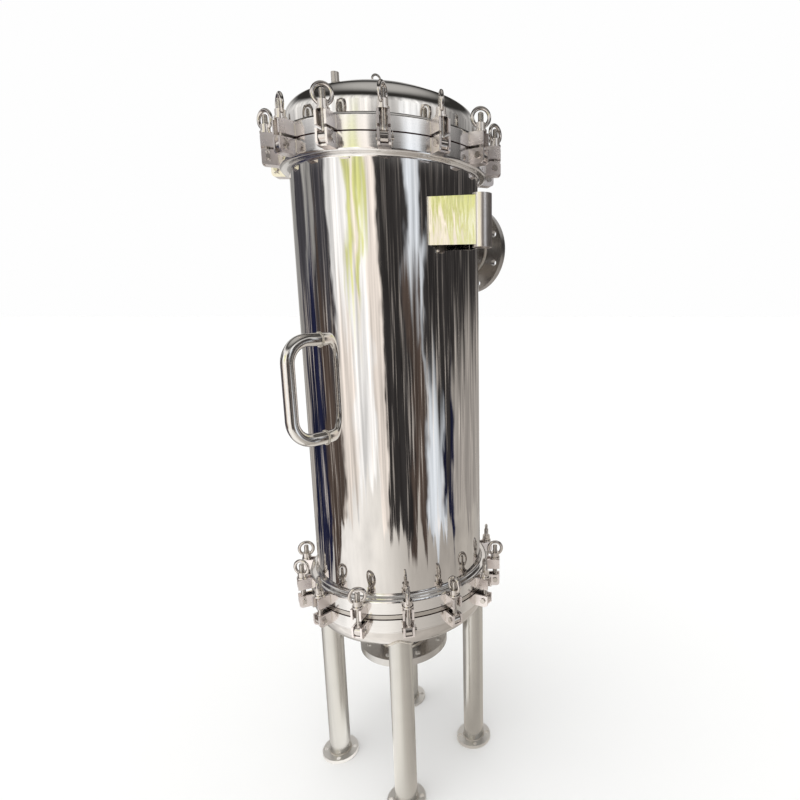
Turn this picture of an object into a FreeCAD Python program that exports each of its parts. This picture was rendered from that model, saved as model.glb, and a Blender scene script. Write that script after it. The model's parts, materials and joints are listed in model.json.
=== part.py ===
import FreeCAD
import Part
import math
import os
from FreeCAD import Vector

# Multi-cartridge filter housing: a polished stainless vessel on four pipe legs. The lid and the
# bottom head are each held by a ring of swing bolts with ring nuts. Sizes are in millimetres, +Z is
# up, and the origin is on the floor under the vessel's axis. Azimuths are in degrees seen from
# above, from the front leg at -Y towards +X.

# Shell and heads
SHELL_D = 450.0              # outside diameter of the rolled shell
SHELL_WALL = 4.0
CARTRIDGE_LENGTH = 1016.0    # 40 inch cartridge over both end caps
SHELL_HEADROOM = 59.5        # shell's length between its ring faces, beyond the cartridges'
SHELL_LENGTH = CARTRIDGE_LENGTH + SHELL_HEADROOM
BASE_HEIGHT = 538.0          # floor to the lower edge of the bottom head's ring
LID_FLARE = 4.0              # lid's dished head stands this far outside the shell's line
LID_D = SHELL_D + 2 * LID_FLARE
LID_WALL = 4.0
LID_STRAIGHT = 28.0          # straight flange of the lid above its ring
LID_KNUCKLE = 46.0
SUMP_FLARE = 13.0            # bottom dished head outside the shell's line
SUMP_D = SHELL_D + 2 * SUMP_FLARE
SUMP_WALL = 4.0
SUMP_STRAIGHT = 9.0          # straight flange of the bottom head below its ring
SUMP_KNUCKLE = 48.0

# Closure rings, gaskets and tube sheet
RING_WIDTH = 21.0            # shell's outside to the rings' outside
RING_D = SHELL_D + 2 * RING_WIDTH
RING_HEIGHT = 36.0
LID_RING_HEIGHT = 34.0
RING_ROUND = 7.0             # rounding of each ring's outer edge away from its seam
RING_LAND = 1.0              # least flat left beside that rounding
GASKET_THICK = 3.0
GASKET_INSET = 6.0           # gasket's edge inside the rings' edge
GASKET_WIDTH = 13.0
GASKET_D = RING_D - 2 * GASKET_INSET
TUBE_SHEET_THICK = 10.0
TUBE_SHEET_INSET = 1.0
TUBE_SHEET_D = RING_D - 2 * TUBE_SHEET_INSET

# Swing bolts, lugs and ring nuts
BOLT_COUNT = 14
TOP_TURN = 2.7               # azimuth of the first lid bolt
BOTTOM_TURN = 5.4            # azimuth of the first bottom bolt
BOLT_OUTSET = 22.0           # bolt's centreline outside the rings
BOLT_CIRCLE_D = RING_D + 2 * BOLT_OUTSET
BOLT_D = 12.0
EYE_D = 24.0
EYE_THICK = 15.0
PIN_D = 10.0
PIN_FIT = 0.08               # radial running clearance of the eye on its pin
PIN_HEAD_D = 14.0
PIN_HEAD_THICK = 3.0
PIN_TAIL = 6.0               # pin end that stands out for its split pin
PIN_DROP = 16.0              # pin axis below the lower ring's seam face
LUG_THICK = 5.0
LUG_GAP = 17.0
LUG_REACH = 35.0             # lug edge outside the ring
LUG_SEAM_GAP = 1.5           # lugs stop this far from their seam face
LUG_DEPTH = 33.0             # lower lug below its seam face
LUG_ROUND = 9.0
WEB_THICK = 4.0
WEB_REACH = 28.0
SEAT_RISE = 30.0             # nut seat above the upper ring's seam face
SEAT_CLEAR = 0.2
NUT_D = 22.0
NUT_HEIGHT = 18.0
NUT_BASE_D = 27.0
NUT_BASE_HEIGHT = 4.0
NUT_FIT = 0.1
BOLT_OVER_NUT = 22.0         # threaded end that stands above the nut
RING_NUT_D = 46.0
RING_NUT_WIRE = 8.5
RING_NUT_SINK = 11.5         # ring reaches this far below the nut's top
# How far each ring nut happens to be turned, from facing outwards
TOP_NUT_TURNS = (70, 65, -59, -37, 20, 75, -10, 48, 85, -30, 12, 41, -14, 30)
BOTTOM_NUT_TURNS = (88, -85, 36, -85, -25, 40, 70, -15, 25, 60, 108, 50, -42, 30)

# Nozzles and their flanges, nominal bore 125
PIPE_D = 139.7
PIPE_WALL = 4.0
FLANGE_D = 250.0
FLANGE_THICK = 22.0
FLANGE_BOLT_CIRCLE = 210.0
FLANGE_HOLE_D = 18.0
FLANGE_HOLES = 8
FACE_D = 184.0               # raised face
FACE_RISE = 2.0
WELD_GAP = 0.2               # radial gap of a pipe in its slip-on flange
PIPE_SETBACK = 6.0           # pipe end behind the flange face
INLET_AZIMUTH = 139.0
INLET_DROP = 176.5           # inlet's centreline below the shell's top
INLET_STANDOUT = 127.0       # inlet flange face outside the shell
INLET_REACH = SHELL_D / 2 + INLET_STANDOUT
OUTLET_DROP = 173.0          # outlet flange face below the bottom head's springing line

# Legs and feet
LEG_D = 60.3
LEG_WALL = 3.0
LEG_INSET = 35.0             # leg's centreline inside the bottom head's edge
LEG_CIRCLE_D = SUMP_D - 2 * LEG_INSET
LEG_COUNT = 4
FOOT_D = 104.0
FOOT_THICK = 10.0
ANCHOR_CIRCLE_D = 84.0
ANCHOR_HOLE_D = 12.0

# Fittings
HANDLE_AZIMUTH = -44.0
HANDLE_D = 30.0
HANDLE_SPAN = 230.0          # centre to centre of the two handle ends
HANDLE_RISE = 542.5          # middle of the handle above the shell's lower end
HANDLE_REACH = 86.0          # shell to the handle's centreline
HANDLE_BEND = 52.0
DAVIT_AZIMUTH = 43.0
DAVIT_REACH = 85.0           # shell to the sleeve's centreline
DAVIT_SLEEVE_D = 42.4
DAVIT_SLEEVE_WALL = 3.2
DAVIT_SLEEVE_LENGTH = 110.0
DAVIT_DROP = 162.5           # middle of the sleeve below the shell's top
DAVIT_PLATE_HEIGHT = 100.0
DAVIT_PLATE_THICK = 5.0
DAVIT_SPREAD = 17.0          # half angle between the plates where they meet the shell
LOOP_ROD_D = 5.0
LOOP_WIDTH = 20.0            # centre to centre of the lifting loop's legs
LOOP_RISE = 42.0
LOOP_OFFSET = 15.0           # left of the lid's centre
LOOP_TURN = 25.0
VENT_D = 17.2
VENT_BORE = 12.6
VENT_RISE = 20.0
VENT_AZIMUTH = -37.0
VENT_INSET = 73.0            # vent inside the lid's edge
VENT_RADIUS = LID_D / 2 - VENT_INSET

# Cartridges and what holds them
CARTRIDGE_D = 64.0
CARTRIDGE_CORE_D = 28.0
CARTRIDGE_WALL_GAP = 13.0    # outermost cartridges to the shell's wall
CARTRIDGE_GAP = 3.0          # between two rings of cartridges
CARTRIDGE_SPACE = 14.0       # least gap between neighbours in a ring, along its circle
CARTRIDGE_STAGGER = 10.0     # turn of every second ring
CAP_THICK = 12.0
SPIGOT_D = 56.0
SPIGOT_LENGTH = 30.0
SPIGOT_FIT = 0.2
SPEAR_D = 14.0
SPEAR_LENGTH = 34.0
SPEAR_FIT = 0.25
PLATE_GAP = 8.0              # hold-down plate's edge to the shell's wall
PLATE_D = SHELL_D - 2 * SHELL_WALL - 2 * PLATE_GAP
PLATE_THICK = 4.0
PLATE_LIFT = 8.0             # hold-down plate above the cartridge caps
ROD_D = 12.0
ROD_INSET = 13.0             # outer tie rods inside the plate's edge
ROD_CIRCLE_D = PLATE_D - 2 * ROD_INSET
ROD_COUNT = 3
ROD_FIT = 0.5
ROD_END = 16.0               # rod end above its upper nut's seat
HEX_FLATS = 18.0
HEX_HEIGHT = 8.0

# Levels, worked out from the floor up
SUMP_SEAM = BASE_HEIGHT + RING_HEIGHT
SHEET_BOTTOM = SUMP_SEAM + GASKET_THICK
SHEET_TOP = SHEET_BOTTOM + TUBE_SHEET_THICK
SHELL_BOTTOM = SHEET_TOP + GASKET_THICK
SHELL_TOP = SHELL_BOTTOM + SHELL_LENGTH
INLET_HEIGHT = SHELL_TOP - INLET_DROP
DAVIT_HEIGHT = SHELL_TOP - DAVIT_DROP
HANDLE_HEIGHT = SHELL_BOTTOM + HANDLE_RISE
LID_SEAM = SHELL_TOP + GASKET_THICK
LID_SPRING = LID_SEAM + LID_RING_HEIGHT + LID_STRAIGHT
SUMP_SPRING = BASE_HEIGHT - SUMP_STRAIGHT
OUTLET_HEIGHT = SUMP_SPRING - OUTLET_DROP
CAPS_TOP = SHEET_TOP + CARTRIDGE_LENGTH
PLATE_BOTTOM = CAPS_TOP + PLATE_LIFT

Z_AXIS = Vector(0, 0, 1)
ORIGIN = Vector(0, 0, 0)


def cylinder(diameter, height, base=ORIGIN, along=Z_AXIS):
    """A round bar of the given diameter and height, from base along a direction."""
    return Part.makeCylinder(diameter / 2, height, base, along)


def tube(outer_d, inner_d, height, base=ORIGIN, along=Z_AXIS):
    """A round bar with a bore of inner_d right through it."""
    return cylinder(outer_d, height, base, along).cut(cylinder(inner_d, height, base, along))


def at_azimuth(shape, azimuth):
    """Turn a shape built along +X so that it points to an azimuth."""
    turned = shape.copy()
    turned.rotate(ORIGIN, Z_AXIS, azimuth - 90)
    return turned


def spin(edges):
    """Revolve a closed outline in the XZ plane about the vessel's axis."""
    return Part.Face(Part.Wire(edges)).revolve(ORIGIN, Z_AXIS, 360)


def polyline(points):
    """Straight edges through (x, z) points, not closed."""
    corners = [Vector(x, 0, z) for x, z in points]
    return [Part.makeLine(a, b) for a, b in zip(corners, corners[1:])]


def arc(centre, radius, start, end):
    """Arc in the XZ plane about (x, z), between two angles from +X in degrees."""
    def spot(angle):
        turn = math.radians(angle)
        return Vector(centre[0] + radius * math.cos(turn), 0, centre[1] + radius * math.sin(turn))
    return Part.Arc(spot(start), spot((start + end) / 2), spot(end)).toShape()


def save(name, shapes):
    """Write one solid, or a group of separate solids, as the node's file."""
    group = shapes if isinstance(shapes, list) else [shapes]
    solids = [solid for shape in group for solid in shape.Solids]
    body = solids[0] if len(solids) == 1 else Part.makeCompound(solids)
    body.exportStep("parts/" + name + ".step")


# Dished heads

def dished_body(outer_d, straight, knuckle, inset):
    """Filled torispherical head, springing at z = 0, with its surfaces moved in by inset."""
    crown = outer_d
    knuckle_x = outer_d / 2 - knuckle
    slope = math.degrees(math.asin(knuckle_x / (crown - knuckle)))
    crown_z = -math.sqrt((crown - knuckle) ** 2 - knuckle_x ** 2)
    crown_arc = arc((0, crown_z), crown - inset, 90, 90 - slope)
    knuckle_arc = arc((knuckle_x, 0), knuckle - inset, 90 - slope, 0)
    edge_x = outer_d / 2 - inset
    sides = polyline([(edge_x, 0), (edge_x, -straight), (0, -straight), (0, crown_z + crown - inset)])
    return spin([crown_arc, knuckle_arc] + sides)


def crown_rise(outer_d, knuckle):
    """Height of a torispherical head's top above its springing line."""
    return outer_d - math.sqrt((outer_d - knuckle) ** 2 - (outer_d / 2 - knuckle) ** 2)


def lid_body(inset):
    """Filled lid head down to its seam face."""
    body = dished_body(LID_D, LID_STRAIGHT + LID_RING_HEIGHT, LID_KNUCKLE, inset)
    body.translate(Vector(0, 0, LID_SPRING))
    return body


def sump_body(inset):
    """Filled bottom head up to its seam face."""
    body = dished_body(SUMP_D, SUMP_STRAIGHT + RING_HEIGHT, SUMP_KNUCKLE, inset)
    body.rotate(ORIGIN, Vector(1, 0, 0), 180)
    body.translate(Vector(0, 0, SUMP_SPRING))
    return body


def lid_surface_height(radius):
    """Height of the lid's outer crown at a radius from the axis."""
    apex = LID_SPRING + crown_rise(LID_D, LID_KNUCKLE)
    return apex - LID_D + math.sqrt(LID_D ** 2 - radius ** 2)


# Closure rings

def edge_round(bore):
    """Rounding of a ring's outer edge, limited by the ring's width."""
    return min(RING_ROUND, (RING_D - bore) / 2 - RING_LAND)


def ring_band(bore, height, seam_z, upwards):
    """Forged closure ring with its seam face at seam_z and the other outer edge rounded."""
    edge = RING_D / 2
    rounding = edge_round(bore)
    outline = polyline([(edge - rounding, height), (bore / 2, height), (bore / 2, 0),
                        (edge, 0), (edge, height - rounding)])
    outline.append(arc((edge - rounding, height - rounding), rounding, 0, 90))
    band = spin(outline)
    if not upwards:
        band.rotate(ORIGIN, Vector(1, 0, 0), 180)
    band.translate(Vector(0, 0, seam_z))
    return band


def flat_gasket(bottom_z):
    """Flat ring gasket of silicone."""
    return tube(GASKET_D, GASKET_D - 2 * GASKET_WIDTH, GASKET_THICK, Vector(0, 0, bottom_z))


# Lugs, pins and swing bolts. They are built along +X and then turned to their azimuth.

def lug_plate(outline, side):
    """One lug plate from its outline in the XZ plane, on side +1 or -1 of the bolt."""
    plate = Part.Face(Part.Wire(outline)).extrude(Vector(0, LUG_THICK, 0))
    inner = LUG_GAP / 2 if side > 0 else -LUG_GAP / 2 - LUG_THICK
    plate.translate(Vector(0, inner, 0))
    return plate


def seat_lugs(seam_z, pin_z, ring, bore):
    """The two plates that carry a nut, with the outer half of the seat crowned about the pin."""
    inner = RING_D / 2 - edge_round(bore)
    outer = RING_D / 2 + LUG_REACH
    centre = BOLT_CIRCLE_D / 2
    seat = seam_z + SEAT_RISE
    foot = seam_z + LUG_SEAM_GAP
    reach = seat - pin_z
    lean = math.degrees(math.acos((outer - centre) / reach))
    corner_z = pin_z + reach * math.sin(math.radians(lean))
    outline = polyline([(outer, corner_z), (outer, foot), (inner, foot), (inner, seat), (centre, seat)])
    outline.append(arc((centre, pin_z), reach, 90, lean))
    return [lug_plate(outline, side).cut(ring) for side in (1, -1)]


def hinge_lug(seam_z, ring, bore):
    """Two plates with the pin's hole, joined below by a web that also stops the swung bolt."""
    inner = RING_D / 2 - edge_round(bore)
    outer = RING_D / 2 + LUG_REACH
    top = seam_z - LUG_SEAM_GAP
    foot = seam_z - LUG_DEPTH
    outline = polyline([(outer - LUG_ROUND, foot), (inner, foot), (inner, top), (outer, top),
                        (outer, foot + LUG_ROUND)])
    outline.append(arc((outer - LUG_ROUND, foot + LUG_ROUND), LUG_ROUND, 0, -90))
    web_reach = RING_D / 2 + WEB_REACH - inner
    web = Part.makeBox(web_reach, LUG_GAP, WEB_THICK, Vector(inner, -LUG_GAP / 2, foot))
    lug = web.fuse([lug_plate(outline, 1), lug_plate(outline, -1)]).removeSplitter()
    width = LUG_GAP + 2 * LUG_THICK
    hole = cylinder(PIN_D + 2 * PIN_FIT, width, Vector(BOLT_CIRCLE_D / 2, -width / 2, seam_z - PIN_DROP),
                    Vector(0, 1, 0))
    return lug.cut([hole, ring])


def hinge_pin(pin_z):
    """Headed clevis pin across the two hinge plates."""
    half = LUG_GAP / 2 + LUG_THICK
    across = Vector(0, 1, 0)
    start = Vector(BOLT_CIRCLE_D / 2, -half, pin_z)
    shank = cylinder(PIN_D, 2 * half + PIN_TAIL, start, across)
    head = cylinder(PIN_HEAD_D, PIN_HEAD_THICK, start - across * PIN_HEAD_THICK, across)
    return shank.fuse(head).removeSplitter()


def eye_bolt(pin_z, tip_z):
    """Swing bolt: a flat eye on the pin and a straight shank with a tapered tip."""
    centre = Vector(BOLT_CIRCLE_D / 2, 0, pin_z)
    across = Vector(0, 1, 0)
    eye = cylinder(EYE_D, EYE_THICK, centre - across * (EYE_THICK / 2), across)
    shank = cylinder(BOLT_D, tip_z - pin_z - 2, centre)
    tip = Part.makeCone(BOLT_D / 2, BOLT_D / 2 - 2, 2, Vector(centre.x, 0, tip_z - 2))
    hole = cylinder(PIN_D + 2 * PIN_FIT, EYE_THICK, centre - across * (EYE_THICK / 2), across)
    return eye.fuse([shank, tip]).cut(hole).removeSplitter()


def ring_nut(base_z, turn):
    """Round nut with a wide foot and a ring on top, turned about the bolt."""
    centre_x = BOLT_CIRCLE_D / 2
    foot = cylinder(NUT_BASE_D, NUT_BASE_HEIGHT, Vector(centre_x, 0, base_z))
    collar = cylinder(NUT_D, NUT_HEIGHT, Vector(centre_x, 0, base_z))
    ring_radius = (RING_NUT_D - RING_NUT_WIRE) / 2
    ring_z = base_z + NUT_HEIGHT - RING_NUT_SINK + RING_NUT_WIRE / 2 + ring_radius
    facing = Vector(math.cos(math.radians(turn)), math.sin(math.radians(turn)), 0)
    ring = Part.makeTorus(ring_radius, RING_NUT_WIRE / 2, Vector(centre_x, 0, ring_z), facing)
    bore = cylinder(BOLT_D + 2 * NUT_FIT, ring_z - base_z, Vector(centre_x, 0, base_z))
    return collar.fuse([foot, ring]).cut(bore).removeSplitter()


def swing_bolt(upper_seam, lower_seam, turn):
    """Eye bolt and ring nut of one lug, as two solids that swing together."""
    pin_z = lower_seam - PIN_DROP
    nut_z = upper_seam + SEAT_RISE + SEAT_CLEAR
    return [eye_bolt(pin_z, nut_z + NUT_HEIGHT + BOLT_OVER_NUT), ring_nut(nut_z, turn)]


def closure(prefix, upper_seam, lower_seam, first_azimuth, turns, upper, lower):
    """Every lug, pin and swing bolt of one closure. upper and lower are each a ring and its bore.
    Saves the bolts and returns the fixed pieces."""
    pin_z = lower_seam - PIN_DROP
    seats = seat_lugs(upper_seam, pin_z, *upper)
    hinge = hinge_lug(lower_seam, *lower)
    pin = hinge_pin(pin_z)
    fixed = {"seats": [], "hinges": [], "pins": []}
    for index in range(BOLT_COUNT):
        azimuth = first_azimuth + index * 360 / BOLT_COUNT
        fixed["seats"] += [at_azimuth(plate, azimuth) for plate in seats]
        fixed["hinges"].append(at_azimuth(hinge, azimuth))
        fixed["pins"].append(at_azimuth(pin, azimuth))
        bolt = [at_azimuth(piece, azimuth) for piece in swing_bolt(upper_seam, lower_seam, turns[index])]
        save("%s_swing_bolt_%02d" % (prefix, index + 1), bolt)
    return fixed


# Nozzles

def slip_on_flange(along, face_centre, first_hole):
    """Flat slip-on flange with a raised face. along points out of the face."""
    back = face_centre - along * FLANGE_THICK
    disc = cylinder(FLANGE_D, FLANGE_THICK - FACE_RISE, back, along)
    face = cylinder(FACE_D, FLANGE_THICK, back, along)
    bore = cylinder(PIPE_D + 2 * WELD_GAP, FLANGE_THICK, back, along)
    side = Vector(0, 0, 1) if abs(along.z) < 0.5 else Vector(1, 0, 0)
    holes = []
    for index in range(FLANGE_HOLES):
        spoke = FreeCAD.Rotation(along, first_hole + index * 360 / FLANGE_HOLES).multVec(side)
        holes.append(cylinder(FLANGE_HOLE_D, FLANGE_THICK, back + spoke * (FLANGE_BOLT_CIRCLE / 2), along))
    return disc.fuse(face).removeSplitter().cut([bore] + holes)


def inlet_direction():
    turn = math.radians(INLET_AZIMUTH)
    return Vector(math.sin(turn), -math.cos(turn), 0)


def inlet_pipe():
    """Set-on nozzle pipe, shaped to the shell at its inner end."""
    along = inlet_direction()
    root = Vector(0, 0, INLET_HEIGHT)
    pipe = tube(PIPE_D, PIPE_D - 2 * PIPE_WALL, INLET_REACH - PIPE_SETBACK, root, along)
    return pipe.cut(cylinder(SHELL_D, SHELL_LENGTH, Vector(0, 0, SHELL_BOTTOM)))


def outlet_pipe():
    """Set-on nozzle pipe under the bottom head."""
    foot = OUTLET_HEIGHT + PIPE_SETBACK
    pipe = tube(PIPE_D, PIPE_D - 2 * PIPE_WALL, SUMP_SPRING - foot, Vector(0, 0, foot))
    return pipe.cut(sump_body(0))


# Legs

def leg(azimuth):
    """Pipe leg, its top shaped to the bottom head."""
    pipe = tube(LEG_D, LEG_D - 2 * LEG_WALL, SUMP_SPRING - FOOT_THICK, Vector(LEG_CIRCLE_D / 2, 0, FOOT_THICK))
    return at_azimuth(pipe.cut(sump_body(0)), azimuth)


def foot_plate(azimuth):
    """Round foot plate with four anchor holes."""
    centre = LEG_CIRCLE_D / 2
    plate = cylinder(FOOT_D, FOOT_THICK, Vector(centre, 0, 0))
    holes = []
    for quarter in range(4):
        turn = math.radians(90 * quarter)
        spot = Vector(centre + ANCHOR_CIRCLE_D / 2 * math.cos(turn), ANCHOR_CIRCLE_D / 2 * math.sin(turn), 0)
        holes.append(cylinder(ANCHOR_HOLE_D, FOOT_THICK, spot))
    return at_azimuth(plate.cut(holes), azimuth)


# Fittings on the shell and lid

def bent_rod(diameter, inner, outer, low, high, bend):
    """D-shaped bent rod in the XZ plane: out from inner to outer at height low, up, and back at high."""
    path = polyline([(inner, low), (outer - bend, low)])
    path.append(arc((outer - bend, low + bend), bend, -90, 0))
    path += polyline([(outer, low + bend), (outer, high - bend)])
    path.append(arc((outer - bend, high - bend), bend, 0, 90))
    path += polyline([(outer - bend, high), (inner, high)])
    section = Part.Wire(Part.makeCircle(diameter / 2, Vector(inner, 0, low), Vector(1, 0, 0)))
    return Part.Wire(path).makePipeShell([section], True, True)


def carry_handle():
    """Round bent handle welded to the shell."""
    low = HANDLE_HEIGHT - HANDLE_SPAN / 2
    rod = bent_rod(HANDLE_D, SHELL_D / 2 - SHELL_WALL * 2, SHELL_D / 2 + HANDLE_REACH, low,
                   low + HANDLE_SPAN, HANDLE_BEND)
    rod = rod.cut(cylinder(SHELL_D, SHELL_LENGTH, Vector(0, 0, SHELL_BOTTOM)))
    return at_azimuth(rod, HANDLE_AZIMUTH)


def davit_sleeve_centre():
    return SHELL_D / 2 + DAVIT_REACH


def davit_sleeve():
    """Upright socket tube for the lid davit's post."""
    base = Vector(davit_sleeve_centre(), 0, DAVIT_HEIGHT - DAVIT_SLEEVE_LENGTH / 2)
    bore = DAVIT_SLEEVE_D - 2 * DAVIT_SLEEVE_WALL
    return at_azimuth(tube(DAVIT_SLEEVE_D, bore, DAVIT_SLEEVE_LENGTH, base), DAVIT_AZIMUTH)


def davit_plates():
    """Two upright plates that spread from the sleeve's sides to the shell."""
    turn = math.radians(DAVIT_SPREAD)
    start = Vector(SHELL_D / 2 * math.cos(turn), SHELL_D / 2 * math.sin(turn), 0)
    end = Vector(davit_sleeve_centre(), (DAVIT_SLEEVE_D - DAVIT_PLATE_THICK) / 2, 0)
    run = end - start
    length = run.Length + 2 * DAVIT_PLATE_THICK
    low = DAVIT_HEIGHT - DAVIT_PLATE_HEIGHT / 2
    slab = Part.makeBox(length, DAVIT_PLATE_THICK, DAVIT_PLATE_HEIGHT,
                        Vector(-2 * DAVIT_PLATE_THICK, -DAVIT_PLATE_THICK / 2, 0))
    slab.rotate(ORIGIN, Z_AXIS, math.degrees(math.atan2(run.y, run.x)))
    slab.translate(start + Vector(0, 0, low))
    shell = cylinder(SHELL_D, SHELL_LENGTH, Vector(0, 0, SHELL_BOTTOM))
    sleeve = cylinder(DAVIT_SLEEVE_D, DAVIT_SLEEVE_LENGTH,
                      Vector(davit_sleeve_centre(), 0, DAVIT_HEIGHT - DAVIT_SLEEVE_LENGTH / 2))
    plate = slab.cut([shell, sleeve])
    other = plate.mirror(ORIGIN, Vector(0, 1, 0))
    return [at_azimuth(piece, DAVIT_AZIMUTH) for piece in (plate, other)]


def lifting_loop():
    """Bent-rod lifting loop on the lid's crown."""
    foot = lid_surface_height(LOOP_OFFSET) - LID_WALL / 2
    top = lid_surface_height(LOOP_OFFSET) + LOOP_RISE - LOOP_ROD_D / 2
    half = LOOP_WIDTH / 2
    path = polyline([(-half, foot), (-half, top - half)])
    path.append(arc((0, top - half), half, 180, 0))
    path += polyline([(half, top - half), (half, foot)])
    section = Part.Wire(Part.makeCircle(LOOP_ROD_D / 2, Vector(-half, 0, foot), Z_AXIS))
    rod = Part.Wire(path).makePipeShell([section], True, True)
    rod.rotate(ORIGIN, Z_AXIS, LOOP_TURN)
    rod.translate(Vector(-LOOP_OFFSET, 0, 0))
    return rod.cut(lid_body(0))


def vent_place():
    turn = math.radians(VENT_AZIMUTH)
    return Vector(VENT_RADIUS * math.sin(turn), -VENT_RADIUS * math.cos(turn), 0)


def vent_nipple():
    """Short tapped stub for an air vent."""
    foot = lid_surface_height(VENT_RADIUS) - VENT_D
    stub = tube(VENT_D, VENT_BORE, VENT_D + VENT_RISE, vent_place() + Vector(0, 0, foot))
    return stub.cut(lid_body(0))


# Shell, heads and tube sheet

def shell():
    """Rolled and seam-welded shell with the inlet's opening."""
    body = tube(SHELL_D, SHELL_D - 2 * SHELL_WALL, SHELL_LENGTH, Vector(0, 0, SHELL_BOTTOM))
    return body.cut(cylinder(PIPE_D - 2 * PIPE_WALL, SHELL_D, Vector(0, 0, INLET_HEIGHT), inlet_direction()))


def lid_dome():
    """Dished lid with the vent's hole."""
    vent_hole = cylinder(VENT_BORE, LID_D, vent_place() + Vector(0, 0, LID_SEAM))
    return lid_body(0).cut([lid_body(LID_WALL), vent_hole])


def bottom_head():
    """Dished bottom head with the outlet's opening."""
    outlet_hole = cylinder(PIPE_D - 2 * PIPE_WALL, SUMP_SPRING, ORIGIN)
    return sump_body(0).cut([sump_body(SUMP_WALL), outlet_hole])


def cartridge_rings():
    """Count and radius of each ring of cartridges, from the wall inwards, round the centre tie rod."""
    radius = SHELL_D / 2 - SHELL_WALL - CARTRIDGE_WALL_GAP - CARTRIDGE_D / 2
    rings = []
    while radius > (CARTRIDGE_D + ROD_D) / 2 + CARTRIDGE_GAP:
        rings.append((int(2 * math.pi * radius / (CARTRIDGE_D + CARTRIDGE_SPACE)), radius))
        radius -= CARTRIDGE_D + CARTRIDGE_GAP
    return rings


def cartridge_places():
    """Centre of each cartridge on the tube sheet, ring by ring."""
    places = []
    for ring, (count, radius) in enumerate(cartridge_rings()):
        for index in range(count):
            turn = math.radians(CARTRIDGE_STAGGER * (ring % 2) + index * 360 / count)
            places.append(Vector(radius * math.sin(turn), -radius * math.cos(turn), 0))
    return places


def rod_places():
    """Centre of each tie rod: one on the axis and the others near the wall."""
    outer_count = cartridge_rings()[0][0]
    half_pitch = 180 / outer_count
    places = [ORIGIN]
    for index in range(ROD_COUNT):
        slot = round(index * outer_count / ROD_COUNT)
        turn = math.radians(half_pitch + slot * 2 * half_pitch)
        places.append(Vector(ROD_CIRCLE_D / 2 * math.sin(turn), -ROD_CIRCLE_D / 2 * math.cos(turn), 0))
    return places


def tube_sheet():
    """Clamped plate with a socket for each cartridge's spigot."""
    plate = cylinder(TUBE_SHEET_D, TUBE_SHEET_THICK, Vector(0, 0, SHEET_BOTTOM))
    sockets = [cylinder(SPIGOT_D + 2 * SPIGOT_FIT, TUBE_SHEET_THICK, place + Vector(0, 0, SHEET_BOTTOM))
               for place in cartridge_places()]
    return plate.cut(sockets)


# Inside the vessel

def cartridge_element():
    """Pleated filter element, from cap to cap, round an open core."""
    return tube(CARTRIDGE_D, CARTRIDGE_CORE_D, CARTRIDGE_LENGTH - 2 * CAP_THICK,
                Vector(0, 0, SHEET_TOP + CAP_THICK))


def cartridge_caps():
    """Lower cap with its spigot and upper cap with its spear."""
    lower = cylinder(CARTRIDGE_D, CAP_THICK, Vector(0, 0, SHEET_TOP))
    spigot = cylinder(SPIGOT_D, SPIGOT_LENGTH, Vector(0, 0, SHEET_TOP - SPIGOT_LENGTH))
    bore = cylinder(CARTRIDGE_CORE_D, SPIGOT_LENGTH + CAP_THICK, Vector(0, 0, SHEET_TOP - SPIGOT_LENGTH))
    upper = cylinder(CARTRIDGE_D, CAP_THICK, Vector(0, 0, CAPS_TOP - CAP_THICK))
    spear = Part.makeCone(SPEAR_D / 2, SPEAR_D / 4, SPEAR_LENGTH - PLATE_LIFT - PLATE_THICK,
                          Vector(0, 0, PLATE_BOTTOM + PLATE_THICK))
    stem = cylinder(SPEAR_D, PLATE_LIFT + PLATE_THICK, Vector(0, 0, CAPS_TOP))
    return [lower.fuse(spigot).cut(bore).removeSplitter(), upper.fuse([stem, spear]).removeSplitter()]


def hold_down_plate():
    """Plate that keeps the cartridges upright by their spears."""
    plate = cylinder(PLATE_D, PLATE_THICK, Vector(0, 0, PLATE_BOTTOM))
    lift = Vector(0, 0, PLATE_BOTTOM)
    holes = [cylinder(SPEAR_D + 2 * SPEAR_FIT, PLATE_THICK, place + lift) for place in cartridge_places()]
    holes += [cylinder(ROD_D + 2 * ROD_FIT, PLATE_THICK, place + lift) for place in rod_places()]
    return plate.cut(holes)


def hex_nut(bottom_z):
    """Plain hexagon nut round a tie rod."""
    corner = HEX_FLATS / math.sqrt(3)
    spots = [Vector(corner * math.cos(math.radians(60 * side)), corner * math.sin(math.radians(60 * side)),
                    bottom_z) for side in range(7)]
    block = Part.Face(Part.makePolygon(spots)).extrude(Vector(0, 0, HEX_HEIGHT))
    return block.cut(cylinder(ROD_D, HEX_HEIGHT, Vector(0, 0, bottom_z)))


def tie_rods():
    """Tie rods that stand on the tube sheet, each with a nut under and over the plate."""
    top = PLATE_BOTTOM + PLATE_THICK
    rod = cylinder(ROD_D, top + ROD_END - SHEET_TOP, Vector(0, 0, SHEET_TOP))
    pieces = [rod, hex_nut(PLATE_BOTTOM - HEX_HEIGHT), hex_nut(top)]
    return [piece.translated(place) for place in rod_places() for piece in pieces]


os.makedirs("parts", exist_ok=True)

shell_top_ring = ring_band(SHELL_D, RING_HEIGHT, SHELL_TOP, False)
shell_bottom_ring = ring_band(SHELL_D, RING_HEIGHT, SHELL_BOTTOM, True)
lid_ring = ring_band(LID_D, LID_RING_HEIGHT, LID_SEAM, True)
sump_ring = ring_band(SUMP_D, RING_HEIGHT, SUMP_SEAM, False)
save("shell", shell())
save("shell_top_ring", shell_top_ring)
save("shell_bottom_ring", shell_bottom_ring)
save("lid_dome", lid_dome())
save("lid_ring", lid_ring)
save("bottom_head", bottom_head())
save("bottom_head_ring", sump_ring)
save("ring_gaskets", [flat_gasket(z) for z in (SUMP_SEAM, SHEET_TOP, SHELL_TOP)])
save("tube_sheet", tube_sheet())

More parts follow.
